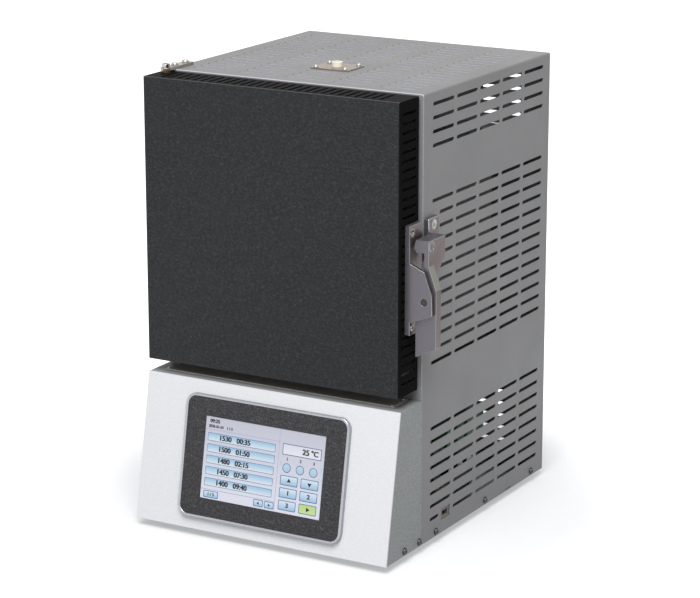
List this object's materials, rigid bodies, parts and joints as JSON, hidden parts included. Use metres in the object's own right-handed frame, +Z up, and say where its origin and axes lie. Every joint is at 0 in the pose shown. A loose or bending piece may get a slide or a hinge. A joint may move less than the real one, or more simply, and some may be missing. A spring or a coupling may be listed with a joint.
{
  "type": "sintering furnace",
  "caption": "Benchtop sintering furnace with a hinged latched front door, a sloping touch console and a hot chamber closed from below by a lifting hearth",
  "frame": {"origin": "on the floor plane under the feet, at the middle of the overall box", "axes": "X to the right seen from the front, Y from the door to the rear panel, Z up"},
  "size_m": [0.354, 0.388, 0.5147],
  "materials": {
    "galvanised_steel": "zinc plated sheet",
    "black_rubber": "moulded rubber",
    "grey_paint": "fine textured powder coat",
    "white_paint": "smooth satin coat",
    "dark_paint": "grained dark powder coat",
    "dark_latch": "dark bead-blasted coat",
    "stainless": "brushed stainless sheet",
    "bright_steel": "ground steel",
    "plated_screws": "zinc plated",
    "ceramic_fibre": "pressed ceramic fibre",
    "alumina": "fired alumina",
    "element_grey": "sintered element",
    "clamp_aluminium": "bead blasted",
    "phenolic": "phenolic board",
    "dark_cast": "dark varnished",
    "silver_rim": "satin anodised",
    "dark_plastic": "fine textured",
    "black_plastic": "moulded",
    "red_plastic": "moulded",
    "screen_glass": "lit display under a clear film",
    "board_green": "laminate with solder mask",
    "washer_brass": "turned brass"
  },
  "bodies": {
    "cabinet": {"base_pan": "galvanised_steel", "rubber_feet": "black_rubber", "outer_cover": "grey_paint", "rear_panel": "grey_paint", "front_frame": "grey_paint", "lower_deck": "galvanised_steel", "upper_deck": "galvanised_steel", "bay_liner": "stainless", "door_gasket": "ceramic_fibre", "cover_screws": "plated_screws", "vent_plate": "stainless", "plate_screws": "plated_screws", "vent_tube": "alumina", "chamber_casing": "stainless", "insulation_front": "ceramic_fibre", "insulation_rear": "ceramic_fibre", "insulation_roof": "ceramic_fibre", "heating_elements": "element_grey", "element_holders": "alumina", "element_clamps": "clamp_aluminium", "terminal_board": "phenolic", "thermocouple": "alumina", "lift_actuator": "dark_cast", "guide_rods": "bright_steel", "hinge_strap_top": "stainless", "hinge_strap_bottom": "stainless", "latch_strike": "dark_latch", "strike_screws": "plated_screws", "console_housing": "grey_paint", "front_fascia": "white_paint", "ledge_plate": "stainless", "panel_rim": "silver_rim", "panel_bezel": "dark_plastic", "touch_screen": "screen_glass", "panel_body": "black_plastic", "circuit_board": "board_green", "transformer": "dark_cast", "power_inlet": "black_plastic", "breaker_body": "black_plastic", "usb_port": "black_plastic", "fan_frame": "black_plastic"},
    "door": {"door_shell": "dark_paint", "door_back": "stainless", "door_insulation": "ceramic_fibre", "hinge_blocks": "bright_steel", "hinge_pins": "bright_steel", "hinge_washers": "washer_brass", "latch_base": "dark_latch", "door_screws": "plated_screws", "latch_pin": "bright_steel", "latch_spring": "bright_steel"},
    "latch": {"latch_lever": "dark_latch", "latch_stud": "bright_steel"},
    "hearth": {"lift_rod": "bright_steel", "hearth_carrier": "stainless", "guide_bushes": "washer_brass", "hearth_plug": "ceramic_fibre", "hearth_plate": "alumina"},
    "fan": {"fan_rotor": "black_plastic"},
    "rocker": {"breaker_rocker": "red_plastic"}
  },
  "joints": [
    {"name": "door_hinge", "type": "hinge", "parent": "cabinet", "child": "door", "pos_m": [-0.16875, -0.1242, 0.346], "axis": [0, 0, -1], "range_deg": [0, 110]},
    {"name": "latch_pivot", "type": "hinge", "parent": "door", "child": "latch", "pos_m": [0.16515, -0.136, 0.2935], "axis": [0, 1, 0], "range_deg": [0, 5.5], "stiffness_Nm_per_rad": 1, "springref_deg": -17.19},
    {"name": "hearth_lift", "type": "slide", "parent": "cabinet", "child": "hearth", "axis": [0, 0, 1], "range_m": [0, 0.078]},
    {"name": "fan_spin", "type": "hinge", "parent": "cabinet", "child": "fan", "pos_m": [-0.01445, 0.1894, 0.299], "axis": [0, -1, 0], "continuous": true},
    {"name": "rocker_tilt", "type": "hinge", "parent": "cabinet", "child": "rocker", "pos_m": [-0.05445, 0.1866, 0.054], "axis": [1, 0, 0], "range_deg": [0, 18]}
  ]
}
